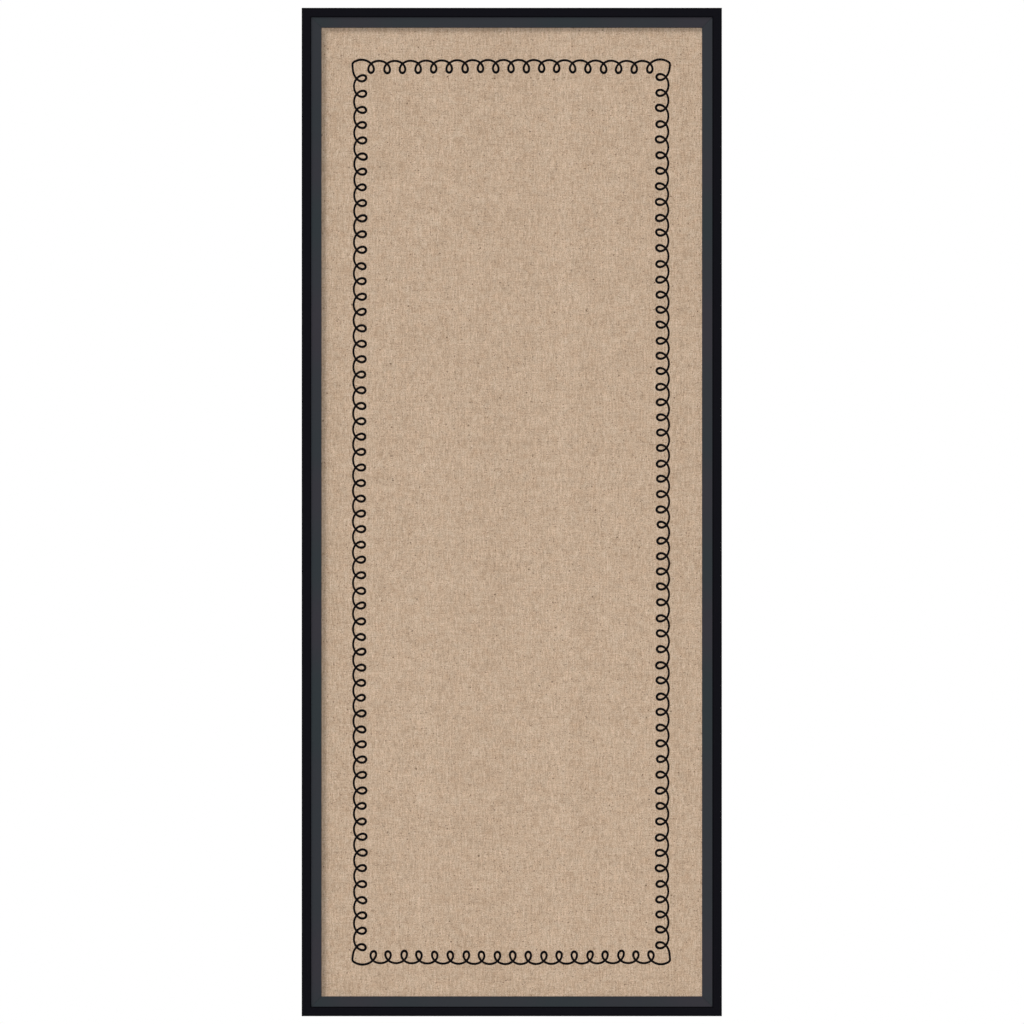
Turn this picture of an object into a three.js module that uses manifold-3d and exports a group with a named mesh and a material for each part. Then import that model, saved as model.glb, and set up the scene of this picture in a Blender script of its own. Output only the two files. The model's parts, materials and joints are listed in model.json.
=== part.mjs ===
// A framed pin board that hangs upright on a wall.
// A linen-covered cork panel sits in the rabbet of a mitred wooden frame. A looped line is printed round
// the linen, steel points hold the panel in from behind, and two D-ring hangers carry the frame.
// Millimetres. X runs to the right as seen from the front, Z up, and the front faces -Y.
// The origin is the middle of the top rail's back face, which lies in the plane Y = 0.

import * as THREE from "three";
import { mergeVertices } from "three/addons/utils/BufferGeometryUtils.js";
import Module from "manifold-3d";

const wasm = await Module();
wasm.setup();

// Rabbet opening: a 16 x 40 in panel size
const panelWidth = 406.4;
const panelHeight = 1016;

// Moulding, seen in section from its outer side inwards
const faceWidth = 20.6;
const rabbetWidth = 6.05;
const frameDepth = 23.4;
const bandWidth = 9.9;
const bandStep = 1.2;
const bevelDrop = 3.2;
const lipThickness = 4.6;
const outerCornerRadius = 0.7;
const bandEdgeRadius = 0.4;
const lipNoseRadius = 0.7;
const mitreGap = 0.1;

// Panel layers, front to back
const panelSideGap = 0.75;
const lipGap = 0.3;
const linenThickness = 0.8;
const corkThickness = 6.35;
const backerThickness = 3.2;
const layerGap = 0.2;
const linenFlapWidth = 28;
const flapSlitWidth = 0.6;

// Looped line printed on the linen
const lineWidth = 2.4;
const inkHeight = 0.3;
const inkGap = 0.1;
const borderInset = 34;
const printShift = -0.6;
const loopPitch = 16;
const loopHeight = 12.85;
const loopSwing = 6.5;
const loopLag = 0.92;
const cornerOutset = 1.65;
const cornerDrop = 2.65;
const cornerRunAcross = 20.45;
const cornerRunDown = 15.5;
const lobeAngleAcross = 0.64;
const lobeAngleDown = -0.12;
const lobeHandleShare = 0.4;

// V-nails in the mitres
const nailLeg = 6;
const nailThickness = 0.6;
const nailHeight = 10;
const nailSink = 0.4;
const nailOuterInset = 4;
const nailInnerInset = 9.4;
const nailClearance = 0.15;

// Framer's points
const pointWidth = 8;
const pointLength = 15.9;
const pointThickness = 0.6;
const pointEmbed = 6;
const pointTip = 3;
const pointCorner = 1.5;
const pointClearance = 0.15;
const pointHoldGap = 0.2;

// Strap hangers
const strapWidth = 7.6;
const strapThickness = 0.8;
const strapReach = 15.5;
const strapSeatGap = 0.1;
const strapSlit = 0.1;
const strapNeckRadius = 0.8;
const hangerDrop = 262;

// D-rings
const ringWire = 2;
const ringEyeWidth = 9;
const ringCornerRadius = 1.6;
const ringSide = 6.5;
const ringBoreClearance = 0.15;
const ringStopGap = 0.3;

// Hanger screws
const screwReach = 8.2;
const screwHeadWidth = 5.6;
const screwHeadHeight = 1.7;
const screwEdgeHeight = 0.6;
const screwWidth = 2.8;
const screwLength = 12;
const screwTip = 2.5;
const screwHoleGap = 0.2;
const screwSeatGap = 0.1;
const recessWidth = 0.7;
const recessSpan = 3;
const recessDepth = 0.9;

// Rubber bumpers
const bumperWidth = 9.5;
const bumperHeight = 4.2;
const bumperDraft = 0.7;
const bumperEdgeRadius = 0.6;
const bumperSeatGap = 0.1;
const bumperInset = 30;

// How far a cutting solid runs past what it cuts
const overrun = 1;

// Corners that lie closer together than this are one corner
const weldReach = 0.0001;

// Counts of copies and of facets
const pointsAcross = 2;
const pointsDown = 4;
const loopSteps = 6;
const arcSteps = 4;
const cornerSteps = 6;
const edgeSteps = 3;
const mouldingSteps = 6;
const foldSteps = 12;
const wireSides = 10;
const roundSides = 20;
const bisections = 50;

// Sizes worked out from those above
const backWidth = faceWidth - rabbetWidth;
const frameWidth = panelWidth + 2 * backWidth;
const frameHeight = panelHeight + 2 * backWidth;
const topEdge = backWidth / 2;
const centreZ = topEdge - frameHeight / 2;
const bevelTop = frameDepth - bandStep;
const lipFront = bevelTop - bevelDrop;
const lipBack = lipFront - lipThickness;
const coverWidth = panelWidth - 2 * panelSideGap;
const coverHeight = panelHeight - 2 * panelSideGap;
const boardWidth = coverWidth - 2 * (linenThickness + layerGap);
const boardHeight = coverHeight - 2 * (linenThickness + layerGap);
const linenFront = lipGap - lipBack;
const corkFront = linenFront + linenThickness + layerGap;
const backerFront = corkFront + corkThickness + layerGap;
const flapFront = backerFront + backerThickness + layerGap;
const pointFront = flapFront + linenThickness + pointHoldGap;
const wireRadius = ringWire / 2;
const boreRadius = wireRadius + ringBoreClearance;
const knuckleRadius = boreRadius + strapThickness;
const hingeHeight = strapSeatGap + knuckleRadius;
const strapTop = strapSeatGap + 2 * strapThickness + strapSlit;
const ringHalfWidth = (ringEyeWidth + ringWire) / 2;
const ringReach = ringSide + ringHalfWidth;
const ringLean = Math.asin((hingeHeight - wireRadius - ringStopGap) / ringReach);
const railMiddle = backWidth / 2;
const nailFar = -nailSink - nailHeight;
const hangerX = frameWidth / 2 - railMiddle;
const hangerZ = topEdge - hangerDrop;

// Geometry helpers

// A closed geometry as a manifold-3d solid.
function solidFrom(geometry) {
  const bare = geometry.clone();
  bare.deleteAttribute("normal");
  bare.deleteAttribute("uv");
  const merged = mergeVertices(bare, weldReach);
  return new wasm.Manifold(
    new wasm.Mesh({
      numProp: 3,
      vertProperties: new Float32Array(merged.attributes.position.array),
      triVerts: new Uint32Array(merged.index.array),
    }),
  );
}

// A solid as a flat-shaded geometry.
function geometryFrom(solid) {
  const mesh = solid.getMesh();
  const indexed = new THREE.BufferGeometry();
  indexed.setAttribute("position", new THREE.BufferAttribute(mesh.vertProperties, mesh.numProp));
  indexed.setIndex(new THREE.BufferAttribute(mesh.triVerts, 1));
  const flat = indexed.toNonIndexed();
  flat.computeVertexNormals();
  return flat;
}

// Points along an arc, both ends included.
function arc(x, y, radius, from, to, steps) {
  return Array.from({ length: steps + 1 }, (_, i) => {
    const angle = from + ((to - from) * i) / steps;
    return new THREE.Vector2(x + radius * Math.cos(angle), y + radius * Math.sin(angle));
  });
}

function extrude(points, depth) {
  return new THREE.ExtrudeGeometry(new THREE.Shape(points), { depth, bevelEnabled: false });
}

// An outline in X and Z, as a slab from the plane Y = front to Y = back.
function slab(points, front, back) {
  const geometry = extrude(points, back - front);
  geometry.rotateX(Math.PI / 2);
  geometry.translate(0, back, 0);
  return geometry;
}

// An outline in Z and Y, as a bar of the given width centred on X = 0.
function bar(points, width) {
  const turn = new THREE.Matrix4().makeBasis(
    new THREE.Vector3(0, 0, 1),
    new THREE.Vector3(0, 1, 0),
    new THREE.Vector3(-1, 0, 0),
  );
  const geometry = extrude(points, width);
  geometry.translate(0, 0, -width / 2);
  geometry.applyMatrix4(turn);
  return geometry;
}

function rectangle(width, height) {
  return [
    new THREE.Vector2(-width / 2, -height / 2),
    new THREE.Vector2(width / 2, -height / 2),
    new THREE.Vector2(width / 2, height / 2),
    new THREE.Vector2(-width / 2, height / 2),
  ];
}

// A tube round a closed plane path in X and Z, with a round section.
function closedTube(path, radius, wireFacets) {
  const count = path.length;
  const places = [];
  const faces = [];
  path.forEach((point, i) => {
    const out = pathNormal(path[(i + count - 1) % count], point, path[(i + 1) % count]);
    for (let k = 0; k < wireFacets; k += 1) {
      const angle = (2 * Math.PI * k) / wireFacets;
      const side = radius * Math.cos(angle);
      places.push(point.x + side * out.x, radius * Math.sin(angle), point.y + side * out.y);
    }
  });
  for (let i = 0; i < count; i += 1) {
    for (let k = 0; k < wireFacets; k += 1) {
      const a = i * wireFacets + k;
      const b = i * wireFacets + ((k + 1) % wireFacets);
      const c = ((i + 1) % count) * wireFacets + k;
      const d = ((i + 1) % count) * wireFacets + ((k + 1) % wireFacets);
      faces.push(a, c, b, b, c, d);
    }
  }
  return builtGeometry(places, faces);
}

// The outward normal of a clockwise path at a point, lengthened so that a mitre keeps the width.
function pathNormal(before, point, after) {
  const first = point.clone().sub(before).normalize();
  const second = after.clone().sub(point).normalize();
  const mean = first.clone().add(second).normalize();
  return new THREE.Vector2(-mean.y, mean.x).divideScalar(mean.dot(second));
}

function builtGeometry(places, faces) {
  const geometry = new THREE.BufferGeometry();
  geometry.setAttribute("position", new THREE.Float32BufferAttribute(places, 3));
  geometry.setIndex(faces);
  const flat = geometry.toNonIndexed();
  flat.computeVertexNormals();
  return flat;
}

// Materials

const paint = { color: 0x131317, roughness: 0.42, metalness: 0 };
const linen = { color: 0xbfa78f, roughness: 0.95, metalness: 0 };
const ink = { color: 0x0b0a0b, roughness: 0.8, metalness: 0 };
const cork = { color: 0xb07f4e, roughness: 0.95, metalness: 0 };
const hardboard = { color: 0x6e4a2f, roughness: 0.8, metalness: 0 };
const zincSteel = { color: 0xb4b7ba, roughness: 0.35, metalness: 1 };
const blackRubber = { color: 0x1b1b1c, roughness: 0.85, metalness: 0 };

const board = new THREE.Group();

function addMesh(parent, name, geometry, finish) {
  const mesh = new THREE.Mesh(geometry, new THREE.MeshStandardMaterial(finish));
  mesh.name = name;
  parent.add(mesh);
  return mesh;
}

// The four sides of the frame, clockwise, each with the corner that it runs to. Each is built in its own
// turned group, where X runs along the rail, the outer side is at Z = 0 and the rail's width runs
// towards -Z.
const across = { length: frameWidth, points: pointsAcross };
const upright = { length: frameHeight, points: pointsDown };
const sides = [
  { name: "top", corner: "top_right", x: 0, z: topEdge, ...across },
  { name: "right", corner: "bottom_right", x: frameWidth / 2, z: centreZ, ...upright },
  { name: "bottom", corner: "bottom_left", x: 0, z: topEdge - frameHeight, ...across },
  { name: "left", corner: "top_left", x: -frameWidth / 2, z: centreZ, ...upright },
];

// The moulding's section: width from the outer side, height from the back.
function mouldingOutline() {
  const slope = Math.atan2(bevelDrop, faceWidth - bandWidth);
  const nose = lipNoseRadius;
  const noseSetback = nose * Math.tan((Math.PI / 2 - slope) / 2);
  return [
    new THREE.Vector2(0, 0),
    new THREE.Vector2(backWidth, 0),
    new THREE.Vector2(backWidth, lipBack),
    new THREE.Vector2(faceWidth, lipBack),
    ...arc(faceWidth - nose, lipFront - noseSetback, nose, 0, Math.PI / 2 - slope, mouldingSteps),
    new THREE.Vector2(bandWidth, bevelTop),
    ...arc(
      bandWidth - bandEdgeRadius,
      frameDepth - bandEdgeRadius,
      bandEdgeRadius,
      0,
      Math.PI / 2,
      mouldingSteps,
    ),
    ...arc(
      outerCornerRadius,
      frameDepth - outerCornerRadius,
      outerCornerRadius,
      Math.PI / 2,
      Math.PI,
      mouldingSteps,
    ),
  ];
}

// A straight length of the moulding, with both ends cut to the mitre.
function mitredRail(length) {
  const turn = new THREE.Matrix4().makeBasis(
    new THREE.Vector3(0, 0, -1),
    new THREE.Vector3(0, -1, 0),
    new THREE.Vector3(-1, 0, 0),
  );
  const geometry = extrude(mouldingOutline(), length);
  geometry.translate(0, 0, -length / 2);
  geometry.applyMatrix4(turn);
  const place = geometry.attributes.position;
  const glueLine = (mitreGap / 2) * Math.SQRT2;
  for (let i = 0; i < place.count; i += 1) {
    const reach = length / 2 + place.getZ(i) - glueLine;
    place.setX(i, Math.sign(place.getX(i)) * reach);
  }
  return geometry;
}

// A V-nail at a rail's right-hand end: its point lies on the mitre, one leg in each rail.
function nailOutline(length, inset, clearance) {
  const x = length / 2 - inset;
  const z = -inset;
  const half = nailThickness / 2 + clearance;
  const leg = nailLeg + clearance;
  return [
    new THREE.Vector2(x + half, z + half),
    new THREE.Vector2(x - leg, z + half),
    new THREE.Vector2(x - leg, z - half),
    new THREE.Vector2(x - half, z - half),
    new THREE.Vector2(x - half, z - leg),
    new THREE.Vector2(x + half, z - leg),
  ];
}

function nailSlot(length, inset) {
  return solidFrom(slab(nailOutline(length, inset, nailClearance), nailFar - nailClearance, overrun));
}

const nailInsets = { outer: nailOuterInset, inner: nailInnerInset };

// Distances along a rail of evenly shared points, from its middle.
function sharedPlaces(count, length) {
  return Array.from({ length: count }, (_, i) => ((i + 1 / 2) / count - 1 / 2) * length);
}

// A framer's point lying in X and Z, its tip pointing out of the rabbet into the rail.
function pointOutline() {
  const tail = pointEmbed - pointLength;
  const half = pointWidth / 2;
  return [
    new THREE.Vector2(0, pointEmbed),
    new THREE.Vector2(-half, pointEmbed - pointTip),
    ...arc(-half + pointCorner, tail + pointCorner, pointCorner, Math.PI, (3 * Math.PI) / 2, edgeSteps),
    ...arc(half - pointCorner, tail + pointCorner, pointCorner, (3 * Math.PI) / 2, 2 * Math.PI, edgeSteps),
    new THREE.Vector2(half, pointEmbed - pointTip),
  ];
}

function pointSlot(x) {
  const width = pointWidth + 2 * pointClearance;
  const depth = pointEmbed + pointClearance + overrun;
  const geometry = slab(
    rectangle(width, depth),
    pointFront - pointClearance,
    pointFront + pointThickness + pointClearance,
  );
  geometry.translate(x, 0, pointEmbed + pointClearance - backWidth - depth / 2);
  return solidFrom(geometry);
}

// Rails, V-nails and framer's points, side by side round the frame

sides.forEach((side, turn) => {
  const group = new THREE.Group();
  group.rotation.y = (turn * Math.PI) / 2;
  group.position.set(side.x, 0, side.z);
  board.add(group);

  let rail = solidFrom(mitredRail(side.length));
  for (const inset of Object.values(nailInsets)) {
    const slot = nailSlot(side.length, inset);
    rail = rail.subtract(slot).subtract(slot.mirror([1, 0, 0]));
  }
  for (const x of sharedPlaces(side.points, side.length)) {
    rail = rail.subtract(pointSlot(x));
  }
  if (side.name === "left" || side.name === "right") {
    rail = rail.subtract(pilotHole(side));
  }
  addMesh(group, `${side.name}_rail`, geometryFrom(rail), paint);

  for (const [place, inset] of Object.entries(nailInsets)) {
    const nail = slab(nailOutline(side.length, inset, 0), nailFar, -nailSink);
    addMesh(group, `v_nail_${side.corner}_${place}`, nail, zincSteel);
  }
  sharedPlaces(side.points, side.length).forEach((x, i) => {
    const point = slab(pointOutline(), pointFront, pointFront + pointThickness);
    const mesh = addMesh(group, `framers_point_${side.name}_${i + 1}`, point, zincSteel);
    mesh.position.set(x, 0, -backWidth);
  });
});

// The pilot hole of the hanger screw, in the rail's own group.
function pilotHole(side) {
  const radius = screwWidth / 2 + screwHoleGap;
  const depth = screwLength + screwHoleGap;
  const hole = new THREE.CylinderGeometry(radius, radius, depth + overrun, roundSides);
  const along = (hangerZ - screwReach - centreZ) * (side.name === "left" ? 1 : -1);
  hole.translate(along, overrun / 2 - depth / 2, -railMiddle);
  return solidFrom(hole);
}

// Panel: cork and hardboard in a wrap of linen

const panel = new THREE.Group();
panel.position.z = centreZ;
board.add(panel);

function linenCover() {
  const tray = solidFrom(slab(rectangle(coverWidth, coverHeight), linenFront, flapFront + linenThickness));
  const hollow = solidFrom(
    slab(
      rectangle(coverWidth - 2 * linenThickness, coverHeight - 2 * linenThickness),
      linenFront + linenThickness,
      flapFront,
    ),
  );
  const window = solidFrom(
    slab(
      rectangle(coverWidth - 2 * linenFlapWidth, coverHeight - 2 * linenFlapWidth),
      flapFront - overrun,
      flapFront + linenThickness + overrun,
    ),
  );
  let cover = tray.subtract(hollow).subtract(window);
  for (const [x, z] of [
    [1, 1],
    [1, -1],
    [-1, -1],
    [-1, 1],
  ]) {
    cover = cover.subtract(flapSlit(x, z));
  }
  return geometryFrom(cover);
}

// The open edge of a corner fold: a slit across the flap from the corner to the window.
function flapSlit(x, z) {
  const reach = (linenFlapWidth - linenThickness) * Math.SQRT2;
  const geometry = slab(
    rectangle(reach + overrun, flapSlitWidth),
    flapFront - overrun,
    flapFront + linenThickness + overrun,
  );
  geometry.translate(-(reach + overrun) / 2, 0, 0);
  geometry.rotateY(-Math.atan2(z, x));
  geometry.translate(
    x * (coverWidth / 2 - linenThickness),
    0,
    z * (coverHeight / 2 - linenThickness),
  );
  return solidFrom(geometry);
}

addMesh(panel, "linen_cover", linenCover(), linen);
addMesh(
  panel,
  "cork_sheet",
  slab(rectangle(boardWidth, boardHeight), corkFront, corkFront + corkThickness),
  cork,
);
addMesh(
  panel,
  "backer_board",
  slab(rectangle(boardWidth, boardHeight), backerFront, backerFront + backerThickness),
  hardboard,
);

// The looped line: a row of prolate trochoid loops along each side, which turn inwards, joined at each
// corner by two lobes that meet in a point. Where a loop closes, its two strands share one crossing.

const arcHalfWidth = (panelWidth - 2 * rabbetWidth) / 2 - borderInset;
const arcHalfHeight = (panelHeight - 2 * rabbetWidth) / 2 - borderInset;
const cornerX = arcHalfWidth + cornerOutset;
const cornerZ = arcHalfHeight - cornerDrop;

// The angle at which a trochoid crosses itself, by bisection of swing * sin(t) = advance * t.
function crossingAngle(advance) {
  let low = Math.acos(advance / loopSwing);
  let high = Math.PI;
  for (let i = 0; i < bisections; i += 1) {
    const middle = (low + high) / 2;
    if (loopSwing * Math.sin(middle) > advance * middle) low = middle;
    else high = middle;
  }
  return (low + high) / 2;
}

// One side's row as stations in its own axes: x along the side, clockwise round the board, y outwards.
// It runs from corner to corner and leaves the second corner's point to the next row.
function loopRow(halfRun, cornerRun, arcLine, cornerLine, lobeAngle) {
  const halfLoops = halfRun - cornerRun;
  const gaps = Math.round((2 * halfLoops) / loopPitch);
  const pitch = (2 * halfLoops) / gaps;
  const advance = pitch / (2 * Math.PI);
  const rise = loopHeight / 2;
  const close = crossingAngle(advance);
  const at = (loop, angle) =>
    new THREE.Vector2(
      loop * pitch - halfLoops - loopLag + advance * angle - loopSwing * Math.sin(angle),
      arcLine - rise - rise * Math.cos(angle),
    );
  const between = (loop, from, to, steps) =>
    Array.from({ length: steps - 1 }, (_, i) => ({
      point: at(loop, from + ((to - from) * (i + 1)) / steps),
    }));
  const entering = new THREE.Vector2(
    advance - loopSwing * Math.cos(close),
    -rise * Math.sin(close),
  ).normalize();
  const leaving = new THREE.Vector2(entering.x, -entering.y);
  const rising = new THREE.Vector2(Math.cos(lobeAngle), Math.sin(lobeAngle));
  const falling = new THREE.Vector2(rising.x, -rising.y);
  const corner = new THREE.Vector2(-halfRun, cornerLine);
  const nextCorner = new THREE.Vector2(halfRun, cornerLine);
  const firstLobe = lobe(corner, rising, at(0, -close), entering);
  const lastLobe = lobe(at(gaps, close), leaving, nextCorner, falling);

  const stations = firstLobe.slice(0, -1).map((point) => ({ point }));
  for (let loop = 0; loop <= gaps; loop += 1) {
    const crossing = crossingCorners(at(loop, close), entering);
    stations.push({ point: crossing.centre, crossing, enters: true });
    stations.push(...between(loop, -close, close, loopSteps));
    stations.push({ point: crossing.centre, crossing, enters: false });
    if (loop < gaps) stations.push(...between(loop, close, 2 * Math.PI - close, arcSteps));
  }
  stations.push(...lastLobe.slice(1, -1).map((point) => ({ point })));
  return stations;
}

// The points of a lobe that leaves one place and arrives at another in the given directions.
function lobe(from, leaving, to, arriving) {
  const handle = lobeHandleShare * from.distanceTo(to);
  return new THREE.CubicBezierCurve(
    from,
    from.clone().addScaledVector(leaving, handle),
    to.clone().addScaledVector(arriving, -handle),
    to,
  ).getPoints(cornerSteps);
}

// A crossing's centre and the four corners where the edges of its two strands meet.
function crossingCorners(centre, heading) {
  const half = lineWidth / 2;
  const sideways = half / Math.abs(heading.y);
  const upright = half / Math.abs(heading.x);
  return {
    centre,
    outer: centre.clone().add(new THREE.Vector2(0, upright)),
    ahead: centre.clone().add(new THREE.Vector2(sideways, 0)),
    inner: centre.clone().add(new THREE.Vector2(0, -upright)),
    behind: centre.clone().add(new THREE.Vector2(-sideways, 0)),
  };
}

// The stations of the whole line, clockwise from the top left corner.
function borderStations() {
  const rowAcross = () => loopRow(cornerX, cornerRunAcross, arcHalfHeight, cornerZ, lobeAngleAcross);
  const rowDown = () => loopRow(cornerZ, cornerRunDown, arcHalfWidth, cornerX, lobeAngleDown);
  const origin = new THREE.Vector2();
  return [rowAcross, rowDown, rowAcross, rowDown].flatMap((makeRow, turn) => {
    const stations = makeRow();
    const places = new Set();
    for (const station of stations) {
      places.add(station.point);
      if (station.crossing) Object.values(station.crossing).forEach((place) => places.add(place));
    }
    places.forEach((place) => place.rotateAround(origin, (-turn * Math.PI) / 2));
    return stations;
  });
}

// The ink: a low ridge on the linen, with one section of left edge, crest and right edge at each
// station. A crossing's four arms share its crest and its corners.
function borderPrint() {
  const stations = borderStations();
  const count = stations.length;
  const base = linenFront - inkGap;
  const places = [];
  const faces = [];
  const vertex = (point, height) => places.push(point.x, base - height, point.y) / 3 - 1;
  const crossings = new Map();
  const sections = stations.map(({ point, crossing, enters }, i) => {
    if (crossing && enters) {
      const made = {
        crest: vertex(crossing.centre, inkHeight),
        outer: vertex(crossing.outer, 0),
        ahead: vertex(crossing.ahead, 0),
        inner: vertex(crossing.inner, 0),
        behind: vertex(crossing.behind, 0),
      };
      crossings.set(crossing, made);
      faces.push(made.behind, made.outer, made.ahead, made.behind, made.ahead, made.inner);
      return {
        arrives: [made.outer, made.crest, made.behind],
        leaves: [made.ahead, made.crest, made.inner],
      };
    }
    if (crossing) {
      const made = crossings.get(crossing);
      return {
        arrives: [made.behind, made.crest, made.inner],
        leaves: [made.outer, made.crest, made.ahead],
      };
    }
    const before = stations[(i + count - 1) % count].point;
    const after = stations[(i + 1) % count].point;
    const side = pathNormal(before, point, after).multiplyScalar(lineWidth / 2);
    const section = [
      vertex(point.clone().add(side), 0),
      vertex(point, inkHeight),
      vertex(point.clone().sub(side), 0),
    ];
    return { arrives: section, leaves: section };
  });
  sections.forEach(({ leaves }, i) => {
    const { arrives } = sections[(i + 1) % count];
    for (let k = 0; k < 3; k += 1) {
      const next = (k + 1) % 3;
      faces.push(leaves[k], leaves[next], arrives[k], leaves[next], arrives[next], arrives[k]);
    }
  });
  return builtGeometry(places, faces);
}

addMesh(panel, "border_print", borderPrint(), ink).position.x = printShift;

// Hangers: a strip folded round the ring's straight bar and screwed to the rail

// The strip seen from its edge, with X along the strap towards the ring and Y off the rail.
function strapOutline() {
  const neckHeight = strapTop + strapNeckRadius - hingeHeight;
  const neckBack = Math.sqrt((knuckleRadius + strapNeckRadius) ** 2 - neckHeight ** 2);
  const meet = Math.atan2(neckHeight, -neckBack);
  const neckY = strapTop + strapNeckRadius;
  const down = -Math.PI / 2;
  return [
    new THREE.Vector2(-strapReach, strapSeatGap),
    ...arc(0, hingeHeight, knuckleRadius, down, meet, foldSteps),
    ...arc(-neckBack, neckY, strapNeckRadius, meet - Math.PI, down, edgeSteps),
    new THREE.Vector2(-strapReach, strapTop),
    new THREE.Vector2(-strapReach, strapTop - strapThickness),
    ...arc(-neckBack, neckY, strapNeckRadius + strapThickness, down, meet - Math.PI, edgeSteps),
    ...arc(0, hingeHeight, boreRadius, meet, down, foldSteps).slice(1),
    new THREE.Vector2(-strapReach, strapSeatGap + strapThickness),
  ];
}

// The strap from above, with a round tail.
function strapPlan() {
  const half = strapWidth / 2;
  const front = knuckleRadius + overrun;
  return [
    new THREE.Vector2(half, front),
    new THREE.Vector2(-half, front),
    ...arc(0, half - strapReach, half, Math.PI, 2 * Math.PI, foldSteps),
  ];
}

function strapHanger() {
  const strip = solidFrom(bar(strapOutline(), strapWidth + overrun));
  const plan = solidFrom(slab(strapPlan(), -overrun, hingeHeight + knuckleRadius + overrun));
  const radius = screwWidth / 2 + screwHoleGap;
  const hole = new THREE.CylinderGeometry(radius, radius, strapTop + 2 * overrun, roundSides);
  hole.translate(0, strapTop / 2, -screwReach);
  return geometryFrom(strip.intersect(plan).subtract(solidFrom(hole)));
}

// The ring's centre line, clockwise: up one side, over the bow, down the other and back along the bar.
function ringPath() {
  const halfBar = ringHalfWidth - ringCornerRadius;
  return [
    ...arc(-halfBar, ringCornerRadius, ringCornerRadius, (3 * Math.PI) / 2, Math.PI, edgeSteps),
    ...arc(0, ringSide, ringHalfWidth, Math.PI, 0, foldSteps),
    ...arc(halfBar, ringCornerRadius, ringCornerRadius, 0, -Math.PI / 2, edgeSteps),
  ];
}

function hangerScrew() {
  const radius = screwWidth / 2;
  const head = screwHeadWidth / 2;
  const dome = arc(0, 0, 1, 0, Math.PI / 2, edgeSteps).map(
    (point) =>
      new THREE.Vector2(
        head * point.x,
        screwEdgeHeight + (screwHeadHeight - screwEdgeHeight) * point.y,
      ),
  );
  dome[dome.length - 1].x = 0;
  const profile = [
    new THREE.Vector2(0, -screwLength),
    new THREE.Vector2(radius, screwTip - screwLength),
    new THREE.Vector2(radius, 0),
    new THREE.Vector2(head, 0),
    ...dome,
  ];
  let screw = solidFrom(new THREE.LatheGeometry(profile, roundSides));
  for (const slot of [rectangle(recessSpan, recessWidth), rectangle(recessWidth, recessSpan)]) {
    const floor = screwHeadHeight - recessDepth;
    screw = screw.subtract(solidFrom(slab(slot, floor, screwHeadHeight + overrun)));
  }
  return geometryFrom(screw);
}

function bumper() {
  const foot = bumperWidth / 2;
  const height = bumperHeight - bumperSeatGap;
  const shoulder = foot - bumperDraft;
  const edge = bumperEdgeRadius;
  return new THREE.LatheGeometry(
    [
      new THREE.Vector2(0, 0),
      new THREE.Vector2(foot, 0),
      ...arc(shoulder - edge, height - edge, edge, 0, Math.PI / 2, edgeSteps),
      new THREE.Vector2(0, height),
    ],
    roundSides,
  );
}

for (const [side, hand] of [
  ["left", -1],
  ["right", 1],
]) {
  const hanger = new THREE.Group();
  hanger.position.set(hand * hangerX, 0, hangerZ);
  board.add(hanger);
  addMesh(hanger, `strap_hanger_${side}`, strapHanger(), zincSteel);
  const ring = addMesh(hanger, `d_ring_${side}`, closedTube(ringPath(), wireRadius, wireSides), zincSteel);
  ring.position.y = hingeHeight;
  ring.rotation.x = ringLean;
  const screw = addMesh(hanger, `hanger_screw_${side}`, hangerScrew(), zincSteel);
  screw.position.set(0, strapTop + screwSeatGap, -screwReach);

  const pad = addMesh(board, `bumper_${side}`, bumper(), blackRubber);
  const padX = frameWidth / 2 - bumperInset;
  pad.position.set(hand * padX, bumperSeatGap, topEdge - frameHeight + railMiddle);
}

export default board;
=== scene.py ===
"""The looks of a framed, linen-covered pin board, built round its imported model.

Lengths are in metres, and sizes are written in millimetres times MM. X runs to the right as seen from
the front, Z up, and the front faces -Y.
"""

import json
import math
import random

import bmesh
import bpy
from mathutils import Matrix, Vector, noise


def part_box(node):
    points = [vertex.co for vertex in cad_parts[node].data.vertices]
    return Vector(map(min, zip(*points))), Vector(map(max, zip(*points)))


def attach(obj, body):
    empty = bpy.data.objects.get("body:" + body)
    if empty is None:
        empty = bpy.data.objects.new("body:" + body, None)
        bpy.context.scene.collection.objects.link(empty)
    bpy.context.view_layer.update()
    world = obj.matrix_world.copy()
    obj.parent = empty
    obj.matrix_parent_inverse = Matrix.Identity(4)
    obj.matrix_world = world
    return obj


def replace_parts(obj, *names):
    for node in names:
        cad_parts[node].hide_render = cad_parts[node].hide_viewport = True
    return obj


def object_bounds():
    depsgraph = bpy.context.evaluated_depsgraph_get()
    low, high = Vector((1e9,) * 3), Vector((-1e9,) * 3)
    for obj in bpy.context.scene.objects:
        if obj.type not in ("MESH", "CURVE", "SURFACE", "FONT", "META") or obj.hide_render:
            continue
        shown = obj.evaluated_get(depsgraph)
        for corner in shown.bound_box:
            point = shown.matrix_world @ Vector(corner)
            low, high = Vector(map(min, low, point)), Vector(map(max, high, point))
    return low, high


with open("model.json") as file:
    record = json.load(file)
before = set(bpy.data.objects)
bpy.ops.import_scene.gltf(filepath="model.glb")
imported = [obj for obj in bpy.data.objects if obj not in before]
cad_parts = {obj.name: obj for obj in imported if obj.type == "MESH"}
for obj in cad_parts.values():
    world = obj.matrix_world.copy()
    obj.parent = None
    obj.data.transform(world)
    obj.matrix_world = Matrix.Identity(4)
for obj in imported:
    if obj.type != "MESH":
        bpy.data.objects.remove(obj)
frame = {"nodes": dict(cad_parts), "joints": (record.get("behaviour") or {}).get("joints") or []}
cad_low, cad_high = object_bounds()

MM = 0.001
QUARTER = math.pi / 2

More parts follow.
